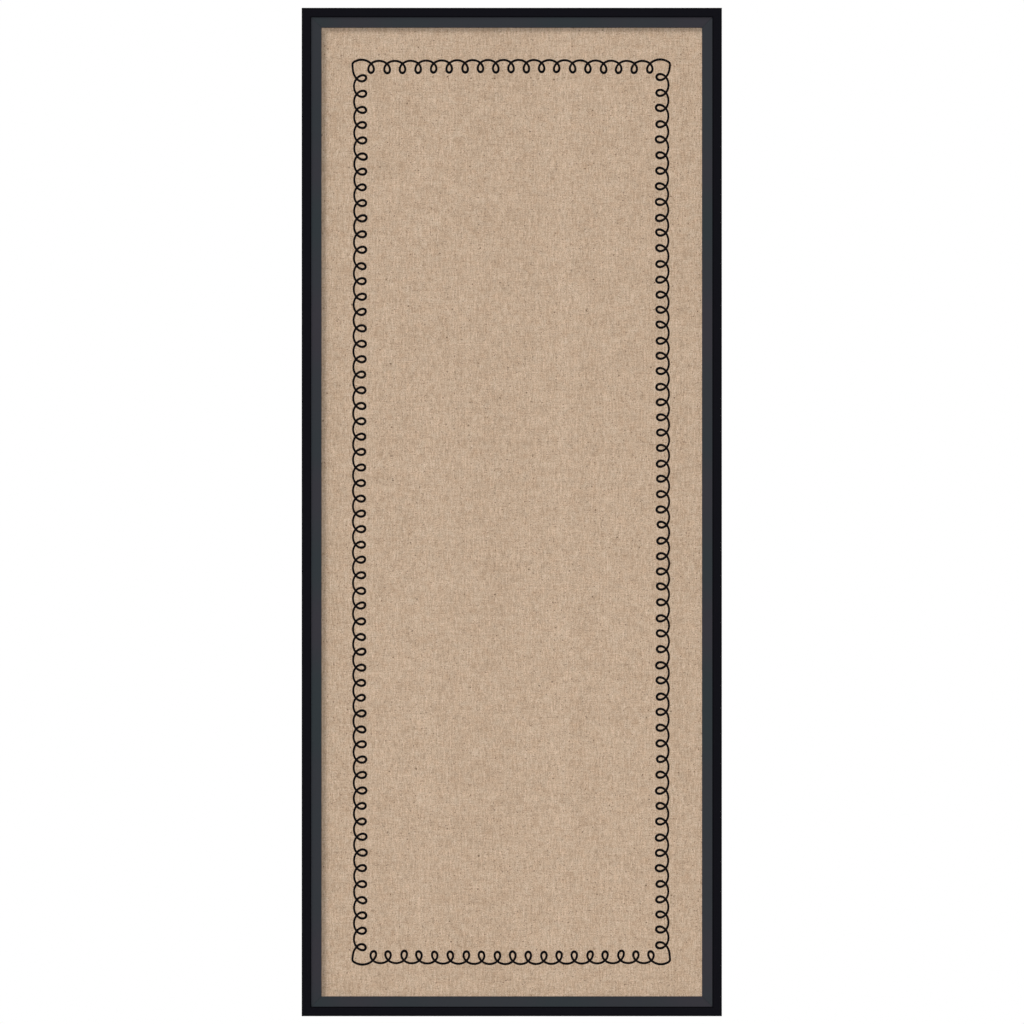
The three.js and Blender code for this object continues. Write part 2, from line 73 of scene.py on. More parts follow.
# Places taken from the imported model

COVER_LOW, COVER_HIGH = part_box("linen_cover")
COVER_MIDDLE = (COVER_LOW + COVER_HIGH) / 2
COVER_HALF_WIDTH = (COVER_HIGH.x - COVER_LOW.x) / 2
COVER_HALF_HEIGHT = (COVER_HIGH.z - COVER_LOW.z) / 2
LINEN_FRONT = COVER_LOW.y
LINEN_BACK = COVER_HIGH.y
# The mitres have room for glue, so only a side's own rail reaches that side of the frame.
LEFT_RAIL_LOW, LEFT_RAIL_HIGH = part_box("left_rail")
RIGHT_RAIL_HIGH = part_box("right_rail")[1]
FRAME_LOW = Vector((LEFT_RAIL_LOW.x, LEFT_RAIL_LOW.y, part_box("bottom_rail")[0].z))
FRAME_HIGH = Vector((RIGHT_RAIL_HIGH.x, RIGHT_RAIL_HIGH.y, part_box("top_rail")[1].z))
FRAME_MIDDLE = (FRAME_LOW + FRAME_HIGH) / 2
FRAME_HALF_WIDTH = (FRAME_HIGH.x - FRAME_LOW.x) / 2
FRAME_HALF_HEIGHT = (FRAME_HIGH.z - FRAME_LOW.z) / 2
FACE_WIDTH = LEFT_RAIL_HIGH.x - FRAME_LOW.x

# The photograph's frame: its size in pixels, the size of a pixel on the board, and the pixel column of
# the board's middle, which is at half the frame's height

IMAGE_PIXELS = 1024
PIXEL = 1.03644 * MM
MIDDLE_PIXEL_X = 511.78

# Stage

CAMERA_DISTANCE = 4.0
LAMP_DISTANCE = 3.0
FLOOR_REACH = 6.0
FLOOR_GAP = 0.2 * MM

# Moulding

FRAME_DEPTH = -FRAME_LOW.y
RABBET_WIDTH = 6.05 * MM
BAND_WIDTH = 9.9 * MM
BAND_STEP = 1.2 * MM
BEVEL_DROP = 3.2 * MM
LIP_THICKNESS = 4.6 * MM
OUTER_CORNER_RADIUS = 0.7 * MM
BAND_EDGE_RADIUS = 0.4 * MM
LIP_NOSE_RADIUS = 0.7 * MM
GLUE_THICKNESS = 0.104 * MM
GLUE_INSET = 0.02 * MM

# Linen wrap

FLAP_WIDTH = 28 * MM
CLOTH = 0.8 * MM
FRONT_ROUNDING = 1.2 * MM
BACK_ROUNDING = 0.9 * MM
ROUNDING_STEPS = 4
FLAT_HALF_WIDTH = COVER_HALF_WIDTH - FRONT_ROUNDING
FLAT_HALF_HEIGHT = COVER_HALF_HEIGHT - FRONT_ROUNDING
GRID_PITCH = 9 * MM
GRID_EDGE = 0.8 * MM
# The rows of a flap in from its fold. The last is the cut edge.
FLAP_ROWS = (*(row * MM for row in (0.6, 1.4, 3, 6, 10, 15, 20, 24, 26.5)), FLAP_WIDTH - BACK_ROUNDING)
MITRE_GAP = 0.3 * MM
# A flap lies higher beside its mitres: by how much, over what width, and from how far in from the fold
PUFF = 0.55 * MM
PUFF_WIDTH = 5 * MM
PUFF_START = 3 * MM
# Unevenness, as the amount, the lumps in a metre and the layer of the noise
FRONT_SLACK = (0.04 * MM, 22, 0.0)
FLAP_RAGGEDNESS = (0.6 * MM, 90, 4.0)
FLAP_LIFT = (0.08 * MM, 40, 9.0)

# Weave, in plain millimetres

THREAD_PITCH = 0.5
# Flecks of husk: cell size and greatest radius, share of cells left out, opacity, and how far they are
# drawn out across and upwards.
SPECKS = (
    (3.2, 0.75, 0.5, 0.42, 1, 1),
    (8, 0.85, 0.5, 0.75, 1, 1),
    (30, 1.1, 0.4, 0.95, 1, 1),
    (3.4, 0.55, 0.55, 0.55, 2.4, 1),
    (3.4, 0.5, 0.55, 0.5, 1, 2.6),
)

# Looped line

LINE_WIDTH = 2.55 * MM
LOOP_SWELL_SHARE = 0.07
NIB_SHARE = 0.04
LINE_HEIGHT = 0.2 * MM
LINE_SUNK = 0.06 * MM
BORDER_INSET = 34 * MM
PRINT_SHIFT = -0.6 * MM
LOOP_PITCH = 16 * MM
LOOP_RISE = 6.3 * MM
LOOP_SWING_ACROSS = 6.35 * MM
LOOP_SWING_DOWN = 6.65 * MM
LOOP_LAG = 0.92 * MM
CORNER_OUTSET = 1.65 * MM
CORNER_DROP = 2.65 * MM
CORNER_RUN_ACROSS = 20.45 * MM
CORNER_RUN_DOWN = 15.5 * MM
LOBE_ANGLE_ACROSS = 0.64
LOBE_ANGLE_DOWN = -0.12
LOBE_HANDLE_SHARE = 0.4
LOOP_STEPS = 26
ARC_STEPS = 14
LOBE_STEPS = 16
HALVINGS = 50
LINE_SEED = 7
# How much the loops differ in tilt, size and place
LOOP_SPREADS = (0.04, 0.02, 0.12 * MM)
# How each row strays outwards and then along itself, as offset and swing in millimetres, cycles in the
# row and phase. It strays less over a share of the row at each end.
ROW_STRAY = (
    ((0.0, 0.6, 1.0, -1.6), (0.6, 0.4, 1.3, -1.2)),
    ((0.0, 0.6, 1.0, -1.6), (-0.4, 1.4, 1.25, 0.4)),
    ((0.0, 0.6, 1.0, -1.6), (-0.4, 0.4, 1.3, 0.6)),
    ((0.0, 0.9, 0.87, -1.0), (0.0, -1.4, 1.0, -2.3)),
)
ROW_END_SHARE = 0.125
# The sharpest turn that the pen leaves as it is, and how often the sharper ones are softened
PEN_TURN = 0.35
PEN_PASSES = 3
# The line's section, as shares of half its width and of its height
LINE_SECTION = ((-1, 0), (-0.86, 0.6), (-0.45, 0.93), (0, 1), (0.45, 0.93), (0.86, 0.6), (1, 0))
# How ragged its edges are, as the amount and the lumps in a metre
LINE_RAGGEDNESS = (0.05 * MM, 1400)
# At a sharp turn the line's edge is drawn out no further than this allows.
LEAST_TURN_COSINE = 0.5

# D-rings

RING_WIRE = 2 * MM
RING_EYE_WIDTH = 9 * MM
RING_CORNER_RADIUS = 1.6 * MM
RING_SIDE = 6.5 * MM
RING_STOP_GAP = 0.3 * MM
RING_SIDES = 20

# Straps

STRAP_WELD_REACH = 0.002 * MM
STRAP_FLAT_ANGLE = math.radians(1)
STRAP_EDGE_ANGLE = math.radians(40)
STRAP_ROUNDING = 0.12 * MM

# Screws and bumpers

SCREW_HEAD_HEIGHT = 1.7 * MM
SCREW_EDGE_HEIGHT = 0.6 * MM
SCREW_EDGE_BEVEL = (0.1 * MM, 0.12 * MM)
SCREW_WIDTH = 2.8 * MM
SCREW_TIP = 2.5 * MM
RECESS_SPAN = 3 * MM
RECESS_WIDTH = 0.7 * MM
RECESS_DEPTH = 0.9 * MM
RECESS_TURN = math.radians(24)
RECESS_TOP_SCALE = 1.15
RECESS_FLOOR_SCALE = 0.6
BUMPER_DRAFT = 0.7 * MM
BUMPER_EDGE_RADIUS = 0.6 * MM
BUMPER_FOOT_BEVEL = 0.15 * MM
# The dish in a bumper's top, as shares of its flat radius and depths
BUMPER_DISH = ((0.7, 0.05 * MM), (0.3, 0.12 * MM), (0, 0.14 * MM))

# Staples

STAPLE_WIDTH = 10 * MM
STAPLE_BREADTH = 0.96 * MM
STAPLE_THICKNESS = 0.6 * MM
STAPLE_BEND = 0.9 * MM
STAPLE_SINK = 1.2 * MM
STAPLE_CROWN = 0.05 * MM
STAPLE_INSET = 19 * MM
STAPLE_PITCH = 62 * MM
# The wire's section, as shares of half its breadth and of half its thickness
STAPLE_SECTION = ((-1, -1), (1, -1), (1, 0.5), (0.6, 1), (-0.6, 1), (-1, 0.5))
# How far the staples stray along and across their row, and how far they are turned
STAPLE_SEED = 11
STAPLE_SPREAD_ALONG = 2.5 * MM
STAPLE_SPREAD_ASIDE = 0.7 * MM
STAPLE_SPREAD_TURN = 0.12

# A sharper edge than this is left crisp.
CREASE_ANGLE = math.radians(38)


# Mesh helpers


def add_object(name, data):
    thing = bpy.data.objects.new(name, data)
    bpy.context.scene.collection.objects.link(thing)
    return thing


def new_mesh(name, places, faces):
    mesh = bpy.data.meshes.new(name)
    mesh.from_pydata([tuple(place) for place in places], [], faces)
    return mesh


def face_outwards(mesh):
    form = bmesh.new()
    form.from_mesh(mesh)
    bmesh.ops.recalc_face_normals(form, faces=form.faces)
    form.to_mesh(mesh)
    form.free()


def add_piece(name, places, faces, look, body, closed=True):
    """A mesh piece that rides on a body, with its places in the frame's metres."""
    return finish_piece(name, new_mesh(name, places, faces), look, body, closed)


def finish_piece(name, mesh, look, body, closed=True):
    """Makes a mesh a piece: faces turned outwards, curves shaded smooth and edges left crisp."""
    if closed:
        face_outwards(mesh)
    shade(mesh)
    mesh.materials.clear()
    mesh.materials.append(look)
    piece = add_object(name, mesh)
    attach(piece, body)
    return piece


def shade(mesh):
    mesh.polygons.foreach_set("use_smooth", [True] * len(mesh.polygons))
    mesh.set_sharp_from_angle(angle=CREASE_ANGLE)
    mesh.update()


def apply_modifiers(piece):
    """Turns a piece's modifiers into mesh."""
    graph = bpy.context.evaluated_depsgraph_get()
    piece.data = bpy.data.meshes.new_from_object(piece.evaluated_get(graph), depsgraph=graph)
    piece.modifiers.clear()
    shade(piece.data)


def arc(x, y, radius, start, end, steps):
    """Points along an arc, both ends included."""
    angles = [start + (end - start) * i / steps for i in range(steps + 1)]
    return [Vector((x + radius * math.cos(angle), y + radius * math.sin(angle))) for angle in angles]


def round_angles(sides):
    return [2 * math.pi * i / sides for i in range(sides)]


def band_faces(count, size, start=0, closed=False):
    """The faces between closed sections of one size that follow each other in a list of places."""
    faces = []
    for i in range(count if closed else count - 1):
        here = start + i * size
        there = start + (i + 1) % count * size
        for k in range(size):
            n = (k + 1) % size
            faces.append((here + k, here + n, there + n, there + k))
    return faces


def end_faces(count, size, start=0):
    """The faces over the first and the last of such sections."""
    last = start + (count - 1) * size
    return [tuple(range(start, start + size)), tuple(reversed(range(last, last + size)))]


def lathe(profile, x, z, sides):
    """A form turned round an axis along Y, from (radius, Y) pairs that start and end on the axis."""
    rings = profile[1:-1]
    places = [
        (x + radius * math.cos(angle), y, z + radius * math.sin(angle))
        for radius, y in rings
        for angle in round_angles(sides)
    ]
    faces = band_faces(len(rings), sides)
    for (_, y), ring in ((profile[0], 0), (profile[-1], len(rings) - 1)):
        tip = len(places)
        places.append((x, y, z))
        faces += [(tip, ring * sides + i, ring * sides + (i + 1) % sides) for i in range(sides)]
    return places, faces


def uneven(x, y, amount, lumps, layer):
    """Smooth noise over a plane, up to an amount either way."""
    return amount * noise.noise(Vector((x * lumps, y * lumps, layer)))


# Node helpers


class Look:
    """A procedural material: each call adds a node and returns its output. Where the sockets of a node
    share their names, they are given by number."""

    def __init__(self, name, **values):
        self.material = bpy.data.materials.new(name)
        self.material.use_nodes = True
        self.tree = self.material.node_tree
        self.shader = self.tree.nodes["Principled BSDF"]
        for socket, value in values.items():
            self.shader.inputs[socket.replace("_", " ")].default_value = value

    def add(self, kind, inputs=(), **settings):
        node = self.tree.nodes.new(kind)
        for key, value in settings.items():
            setattr(node, key, value)
        for socket, value in dict(inputs).items():
            self.put(node.inputs[socket], value)
        return node

    def put(self, socket, value):
        if isinstance(value, bpy.types.NodeSocket):
            self.tree.links.new(value, socket)
        else:
            socket.default_value = value

    def maths(self, operation, *values):
        node = self.add("ShaderNodeMath", operation=operation)
        for socket, value in zip(node.inputs, values):
            self.put(socket, value)
        return node.outputs[0]

    def times(self, value, factor):
        return self.maths("MULTIPLY", value, factor)

    def wave(self, value, pitch):
        """A wave from -1 to 1 that crosses 0 once in each pitch."""
        return self.maths("SINE", self.times(value, math.pi / pitch))

    def total(self, *terms):
        """The sum of values, each times its weight."""
        result = 0.0
        for value, weight in terms:
            result = self.maths("MULTIPLY_ADD", value, weight, result)
        return result

    def place(self):
        """X, Y and Z in millimetres."""
        coordinates = self.add("ShaderNodeTexCoord").outputs["Object"]
        split = self.add("ShaderNodeSeparateXYZ", {"Vector": coordinates})
        return [self.maths("DIVIDE", output, MM) for output in split.outputs]

    def vector(self, x=0.0, y=0.0, z=0.0):
        return self.add("ShaderNodeCombineXYZ", {"X": x, "Y": y, "Z": z}).outputs[0]

    def noise(self, vector, scale, detail=3, roughness=0.5):
        """Smooth noise from 0 to 1, with a mean of a half."""
        inputs = {"Vector": vector, "Scale": scale, "Detail": detail, "Roughness": roughness}
        return self.add("ShaderNodeTexNoise", inputs).outputs["Fac"]

    def span(self, value, low, high, to_low=0.0, to_high=1.0):
        """A value's place between two limits, smoothed and held at both."""
        inputs = {0: value, 1: low, 2: high, 3: to_low, 4: to_high}
        return self.add("ShaderNodeMapRange", inputs, interpolation_type="SMOOTHSTEP").outputs[0]

    def between(self, share, first, second):
        return self.add("ShaderNodeMix", {0: share, 2: first, 3: second}).outputs[0]

    def mix(self, share, first, second, blend="MIX"):
        """A colour between two, or one laid on the other."""
        inputs = {0: share, 6: first, 7: second}
        return self.add("ShaderNodeMix", inputs, data_type="RGBA", blend_type=blend).outputs[2]

    def bump(self, height, distance):
        inputs = {"Height": height, "Distance": distance}
        self.put(self.shader.inputs["Normal"], self.add("ShaderNodeBump", inputs).outputs[0])

    def colour(self, value):
        self.put(self.shader.inputs["Base Color"], value)

    def roughness(self, value):
        self.put(self.shader.inputs["Roughness"], value)


def srgb(red, green, blue):
    """A colour given as in a picture, from 0 to 255, as linear light."""
    shares = [channel / 255 for channel in (red, green, blue)]
    return (*(s / 12.92 if s <= 0.04045 else ((s + 0.055) / 1.055) ** 2.4 for s in shares), 1.0)


# Materials, in plain millimetres. A fixed third place gives a flat pattern its own draw.


def linen_look():
    """Plain weave of uneven natural threads, with slubs, specks and slow changes of tone."""
    look = Look("natural_linen", Roughness=0.92, Specular_IOR_Level=0.15, Sheen_Weight=0.06)
    x, _, z = look.place()
    tone, pillow = linen_tone(look, x, z)
    base = look.mix(look.span(tone, 0.785, 1.365), srgb(153, 127, 102), srgb(241, 218, 194))
    hue = look.noise(look.vector(x, z, 11.0), 0.1, detail=6, roughness=0.85)
    tint = look.mix(hue, (1.085, 0.98, 0.9, 1.0), (0.915, 1.02, 1.1, 1.0))
    base = look.mix(1.0, base, tint, "MULTIPLY")
    for cell, radius, left_out, opacity, across_share, up_share in SPECKS:
        place_x = look.maths("DIVIDE", x, across_share)
        place_z = look.maths("DIVIDE", z, up_share)
        fleck = specks(look, place_x, place_z, cell, left_out, radius)
        base = look.mix(look.times(fleck, opacity), base, srgb(98, 76, 57))
    look.colour(base)
    look.bump(pillow, 0.12 * MM)
    return look.material


def linen_tone(look, x, z):
    """How light the cloth is, and how each thread rises between its crossings."""
    plane = look.vector(x, z)
    wander = look.noise(plane, 0.35, detail=2)
    across = look.maths("ADD", look.maths("DIVIDE", x, THREAD_PITCH), wander)
    up = look.maths("ADD", look.maths("DIVIDE", z, THREAD_PITCH), wander)
    checker = look.times(look.wave(across, 1), look.wave(up, 1))
    pillow = look.maths("POWER", look.maths("ABSOLUTE", checker), 0.55)

    warp = look.vector(look.maths("FLOOR", across), look.times(z, 0.05))
    weft = look.vector(look.times(x, 0.05), look.maths("FLOOR", up), 7.3)
    thread_tones = [look.noise(thread, 0.9) for thread in (weft, warp)]
    warp_on_top = look.maths("GREATER_THAN", checker, 0.0)
    thread_tone = look.between(warp_on_top, *thread_tones)

    drawn_up = look.vector(x, look.times(z, 0.14), 3.1)
    drawn_across = look.vector(look.times(x, 0.14), z, 5.7)
    drawn_far = look.vector(x, look.times(z, 0.008), 9.1)
    tone = look.total(
        (look.noise(drawn_up, 0.62, roughness=0.75), 0.38),
        (look.noise(plane, 0.8, detail=4, roughness=0.92), 0.92),
        (look.noise(drawn_across, 0.62, roughness=0.75), 0.17),
        (thread_tone, 0.2),
        (look.noise(plane, 0.035, roughness=0.6), 0.08),
        (look.noise(drawn_far, 0.03, detail=5, roughness=0.75), 0.08),
        # Painted highlight: the threads are made lighter where they rise, on top of the bump that gives the
        # same relief.
        (pillow, 0.16),
    )
    return tone, pillow


def specks(look, x, z, cell, left_out, radius):
    """Scattered spots, one in some of the cells: 1 on a spot and 0 off it."""
    ragged = look.noise(look.vector(x, z), 1.1)
    place = look.vector(look.maths("MULTIPLY_ADD", ragged, 1.4 * radius, x), z)
    near = {"Vector": place, "Scale": 1 / cell}
    cells = look.add("ShaderNodeTexVoronoi", near, voronoi_dimensions="2D")
    pick = look.add("ShaderNodeSeparateColor", {"Color": cells.outputs["Color"]})
    picked = look.maths("GREATER_THAN", pick.outputs[0], left_out)
    size = look.maths("MULTIPLY_ADD", pick.outputs[1], 0.7 * radius / cell, 0.4 * radius / cell)
    depth = look.maths("SUBTRACT", 1.0, look.maths("DIVIDE", cells.outputs["Distance"], size))
    return look.times(picked, look.span(depth, 0.0, 0.6))


def paint_look():
    """Satin paint, black on the flat band and sides and dark grey on the bevel, over raw wood behind."""
    look = Look("frame_paint", Specular_IOR_Level=0.04)
    x, y, z = look.place()
    from_side = look.maths("SUBTRACT", FRAME_HALF_WIDTH / MM, look.maths("ABSOLUTE", x))
    level = look.maths("ABSOLUTE", look.maths("SUBTRACT", z, FRAME_MIDDLE.z / MM))
    from_end = look.maths("SUBTRACT", FRAME_HALF_HEIGHT / MM, level)
    from_mitre = look.maths("ABSOLUTE", look.maths("SUBTRACT", from_side, from_end))
    inset = look.maths("MINIMUM", from_side, from_end)
    along = look.between(look.maths("LESS_THAN", from_side, from_end), x, z)
    normal = look.add("ShaderNodeTexCoord").outputs["Normal"]
    facing = look.add("ShaderNodeSeparateXYZ", {"Vector": normal}).outputs["Y"]
    in_front = look.maths("LESS_THAN", facing, -0.5)
    behind = look.maths("GREATER_THAN", facing, 0.5)

    grain = look.noise(look.vector(look.times(along, 0.04), inset), 1.3, roughness=0.6)
    painted = paint_colour(look, inset, along, from_mitre, in_front, grain)
    ragged = look.noise(look.vector(look.times(along, 0.3), inset), 0.5, detail=4, roughness=0.55)
    creep = look.span(look.maths("MULTIPLY_ADD", ragged, -2.6, inset), -0.9, 0.3)
    raw = look.times(behind, creep)
    look.colour(look.mix(raw, painted, wood_colour(look, inset, along, y)))
    look.roughness(look.span(look.maths("ADD", raw, grain), 0.3, 1.5, 0.4, 0.75))
    look.bump(grain, 0.03 * MM)
    return look.material


def paint_colour(look, inset, along, from_mitre, in_front, grain):
    """The band's black, with painted shade at its outer edge and beside the bevel's step, and the bevel's
    grey, with fine lines at the mitres.
    """
    band = BAND_WIDTH / MM
    grey = look.span(inset, band - 0.12, band + 0.12)
    # Painted shade: the band's outer millimetres are darkened, where its rounded outer edge turns away from
    # the light.
    edge = look.times(look.span(inset, 0.9, 1.9, 1.0, 0.0), in_front)
    # Painted shade: a dark line on the band beside the step down to the bevel, where the step's shadow
    # falls.
    step_shade = look.times(look.span(inset, band - 1.5, band - 0.7), look.maths("SUBTRACT", 1.0, grey))
    mitre = look.span(from_mitre, 0.1, 0.5, 1.0, 0.0)
    drift = look.noise(look.vector(look.times(along, 0.0075)), 1, detail=1)
    black = look.mix(grain, srgb(8, 8, 13), srgb(14.5, 14, 19))
    black = look.mix(look.maths("MAXIMUM", edge, step_shade), black, srgb(1, 1, 3))
    bevel = look.mix(look.span(drift, 0.35, 0.65), srgb(42, 47.5, 50.5), srgb(47.5, 46.5, 51.5))
    return look.mix(look.times(mitre, 0.22), look.mix(grey, black, bevel), srgb(8, 8, 10))


def wood_colour(look, inset, along, y):
    """Raw softwood, with growth rings and pores along the rail."""
    rings = look.vector(look.times(along, 0.012), inset, y)
    pores = look.vector(look.times(along, 0.15), inset, y)
    ring_share = look.span(look.noise(rings, 0.9, detail=4, roughness=0.65), 0.3, 0.7)
    pore_share = look.span(look.noise(pores, 3.5, detail=2, roughness=0.6), 0.58, 0.75, 0.0, 0.45)
    wood = look.mix(ring_share, srgb(206, 172, 126), srgb(176, 136, 90))
    return look.mix(pore_share, wood, srgb(133, 96, 60))


def ink_look():
    """Matt black textile ink, broken a little by the weave under it."""
    look = Look("textile_ink", Roughness=0.85, Specular_IOR_Level=0.1)
    x, _, z = look.place()
    weave = look.maths("ABSOLUTE", look.times(look.wave(x, THREAD_PITCH), look.wave(z, THREAD_PITCH)))
    tone = look.times(weave, look.noise(look.vector(x, z), 0.8))
    look.colour(look.mix(tone, srgb(5, 4, 6), srgb(24, 21, 20)))
    look.bump(weave, 0.06 * MM)
    return look.material


def hardboard_look():
    """Pressed brown fibre with the fine net of the screen on its rough side, its hollows darkened as painted
    shade.
    """
    look = Look("pressed_hardboard", Roughness=0.82, Specular_IOR_Level=0.25)
    x, y, z = look.place()
    solid = look.vector(x, z, y)
    fibre = look.noise(solid, 1.4, detail=5, roughness=0.75)
    cloud = look.noise(solid, 0.03, detail=4, roughness=0.6)
    base = look.mix(look.span(fibre, 0.3, 0.7), srgb(104, 70, 44), srgb(140, 101, 66))
    base = look.mix(look.span(cloud, 0.3, 0.75, 0.0, 0.22), base, srgb(88, 58, 37))
    net_pitch = 1.6
    net = look.maths("MINIMUM", *(look.maths("ABSOLUTE", look.wave(run, net_pitch)) for run in (x, z)))
    # Painted shade: the net's lines, the hollows of the screen's impression, are darkened.
    look.colour(look.mix(look.span(net, 0.0, 0.45, 0.4, 0.0), base, srgb(74, 48, 30)))
    look.bump(look.maths("ADD", look.span(net, 0.0, 0.5), fibre), 0.15 * MM)
    return look.material


def cork_look():
    """Agglomerated cork: light and dark granules, with painted shade in the gaps between them."""
    look = Look("granulated_cork", Roughness=0.9, Specular_IOR_Level=0.2)
    near = {"Vector": look.vector(*look.place()), "Scale": 0.45}
    granules = look.add("ShaderNodeTexVoronoi", near)
    tone = look.add("ShaderNodeSeparateColor", {"Color": granules.outputs["Color"]}).outputs[0]
    base = look.mix(tone, srgb(150, 102, 60), srgb(199, 154, 104))
    # Painted shade: darker towards each granule's border, in the sunken gaps between granules.
    gap_shade = look.span(granules.outputs["Distance"], 0.35, 0.6, 0.0, 0.6)
    look.colour(look.mix(gap_shade, base, srgb(96, 62, 36)))
    look.bump(granules.outputs["Distance"], -0.2 * MM)
    return look.material


def steel_look(name, light, dark, smoothest, brushing):
    """Plated steel with fine drawn lines and a cloudy film."""
    look = Look(name, Metallic=1.0)
    x, y, z = look.place()
    drawn = look.noise(look.vector(look.times(x, brushing), y, z), 5, roughness=0.7)
    film = look.noise(look.vector(x, y, z), 0.8, detail=4, roughness=0.7)
    look.colour(look.mix(film, light, dark))
    look.roughness(look.maths("MULTIPLY_ADD", drawn, 0.25, smoothest))
    look.bump(drawn, 0.01 * MM)
    return look.material


def rubber_look():
    """Dull black rubber with a faint moulded grain."""
    look = Look("moulded_rubber", Roughness=0.75, Specular_IOR_Level=0.3)
    solid = look.vector(*look.place())
    grain = look.noise(solid, 6, detail=2, roughness=0.6)
    dust = look.noise(solid, 0.6, roughness=0.6)
    look.colour(look.mix(look.span(dust, 0.4, 0.8), srgb(22, 22, 23), srgb(44, 43, 42)))
    look.bump(grain, 0.05 * MM)
    return look.material


def glue_look():
    """Dark glue and paint drawn into the joint."""
    look = Look("joint_glue", Roughness=0.8, Specular_IOR_Level=0.1)
    tone = look.noise(look.vector(*look.place()), 0.7, roughness=0.6)
    look.colour(look.mix(tone, srgb(6, 6, 8), srgb(20, 19, 21)))
    return look.material


# Stage: floor, light and camera


def seen_directly(tree):
    """1 where the camera, a reflection or a view through glass meets it, and 0 elsewhere."""
    path = tree.nodes.new("ShaderNodeLightPath")
    seen = path.outputs["Is Camera Ray"]
    for ray in ("Is Glossy Ray", "Is Transmission Ray"):
        either = tree.nodes.new("ShaderNodeMath")
        either.operation = "MAXIMUM"
        tree.links.new(seen, either.inputs[0])
        tree.links.new(path.outputs[ray], either.inputs[1])
        seen = either.outputs[0]
    return seen


def floor_look():
    """Pale to look at, but dull to all else, so that it throws little light up at the board."""
    look = Look("pale_floor", Roughness=0.8, Specular_IOR_Level=0.1)
    x, y, _ = look.place()
    cloud = look.noise(look.vector(x, y), 0.01)
    pale = look.mix(cloud, srgb(228, 228, 228), srgb(236, 236, 236))
    look.colour(look.mix(seen_directly(look.tree), srgb(150, 150, 150), pale))
    return look.material


def add_floor():
    level = cad_low.z - FLOOR_GAP
    corners = [(x * FLOOR_REACH, y * FLOOR_REACH, level) for x, y in ((-1, -1), (1, -1), (1, 1), (-1, 1))]
    mesh = new_mesh("floor", corners, [(0, 1, 2, 3)])
    mesh.materials.append(floor_look())
    floor = add_object("floor", mesh)
    # The lower of the two skimming lamps shines up through the floor.
    floor.visible_shadow = False


def add_world(ambient):
    """Even light from all round, and white where the camera or a reflection meets the sky."""
    world = bpy.data.worlds.new("studio")
    world.use_nodes = True
    tree = world.node_tree
    light = tree.nodes["Background"]
    light.inputs["Strength"].default_value = ambient
    white = tree.nodes.new("ShaderNodeBackground")
    for background in (light, white):
        background.inputs["Color"].default_value = (1, 1, 1, 1)
    choice = tree.nodes.new("ShaderNodeMixShader")
    tree.links.new(seen_directly(tree), choice.inputs[0])
    tree.links.new(light.outputs[0], choice.inputs[1])
    tree.links.new(white.outputs[0], choice.inputs[2])
    tree.links.new(choice.outputs[0], tree.nodes["World Output"].inputs["Surface"])
    bpy.context.scene.world = world


def add_lamp(name, towards, strength, spread):
    """An even lamp that shines the same on the whole board, as a distant softbox does."""
    data = bpy.data.lights.new(name, "SUN")
    data.energy = strength
    data.angle = math.radians(spread)
    lamp = add_object(name, data)
    lamp.rotation_euler = Vector(towards).to_track_quat("-Z", "Y").to_euler()
    lamp.location = FRAME_MIDDLE - LAMP_DISTANCE * Vector(towards).normalized()
    lamp.visible_glossy = False


def add_lamps():
    """Soft lamps, and two narrow ones that skim over the right and the bottom rail and light the bevels
    opposite, so that all four bevels are as light as each other."""
    rise = BAND_STEP + BEVEL_DROP + LIP_THICKNESS / 2
    rise_across = rise / (2 * (FRAME_HALF_WIDTH - BAND_WIDTH))
    rise_up = rise / (2 * (FRAME_HALF_HEIGHT - BAND_WIDTH))
    add_lamp("key", towards=(0.9, 0.83, -0.82), strength=2.68, spread=27)
    add_lamp("front", towards=(0, 1, -0.07), strength=1.57, spread=6)
    add_lamp("skim_right", towards=(-1, rise_across, 0), strength=2.95, spread=0.4)
    add_lamp("skim_low", towards=(0, rise_up, 1), strength=2.95, spread=0.16)
    add_lamp("rear_key", towards=(-0.8, -1, -0.7), strength=2.1, spread=38)
    add_lamp("rear_fill", towards=(0.9, -1, -0.1), strength=1.05, spread=30)


def add_camera():
    data = bpy.data.cameras.new("camera")
    data.type = "ORTHO"
    data.ortho_scale = IMAGE_PIXELS * PIXEL
    camera = add_object("camera", data)
    aside = (IMAGE_PIXELS / 2 - MIDDLE_PIXEL_X) * PIXEL
    camera.location = (FRAME_MIDDLE.x + aside, -CAMERA_DISTANCE, FRAME_MIDDLE.z)
    camera.rotation_euler = (QUARTER, 0, 0)
    bpy.context.scene.camera = camera


# Linen: one cloth over the front, round the edges and folded behind in four mitred flaps


class Cloth:
    """The places and faces of a cloth, measured from the cover's middle."""

    def __init__(self):
        self.places = []
        self.faces = []

    def place(self, x, y, z):
        """Adds a place and gives its number."""
        self.places.append((COVER_MIDDLE.x + x, y, COVER_MIDDLE.z + z))
        return len(self.places) - 1

    def join(self, row, next_row):
        """Adds the faces between two rows of places."""
        for i in range(len(row) - 1):
            self.faces.append((row[i + 1], row[i], next_row[i], next_row[i + 1]))


def grid_lines(half):
    """Places along one direction of the front, closer together near both edges."""
    count = round(2 * half / GRID_PITCH)
    inner = [half * (2 * i / count - 1) for i in range(1, count)]
    return [-half, -half + GRID_EDGE, *inner, half - GRID_EDGE, half]


def grid_edge(grid):
    """A grid's edge, anticlockwise from its bottom left corner and back to it."""
    right = [row[-1] for row in grid[:-1]]
    left = [row[0] for row in reversed(grid)]
    return [*grid[0][:-1], *right, *grid[-1][:0:-1], *left]


def rounded_corner(x, z, half_x, half_z, radius):
    """A place on a rectangle's edge, drawn in where the corner is round."""
    over_x = abs(x) - (half_x - radius)
    over_z = abs(z) - (half_z - radius)
    if over_x <= 0 or over_z <= 0:
        return x, z
    drawn = 1 - radius / math.hypot(over_x, over_z)
    return x - math.copysign(over_x * drawn, x), z - math.copysign(over_z * drawn, z)


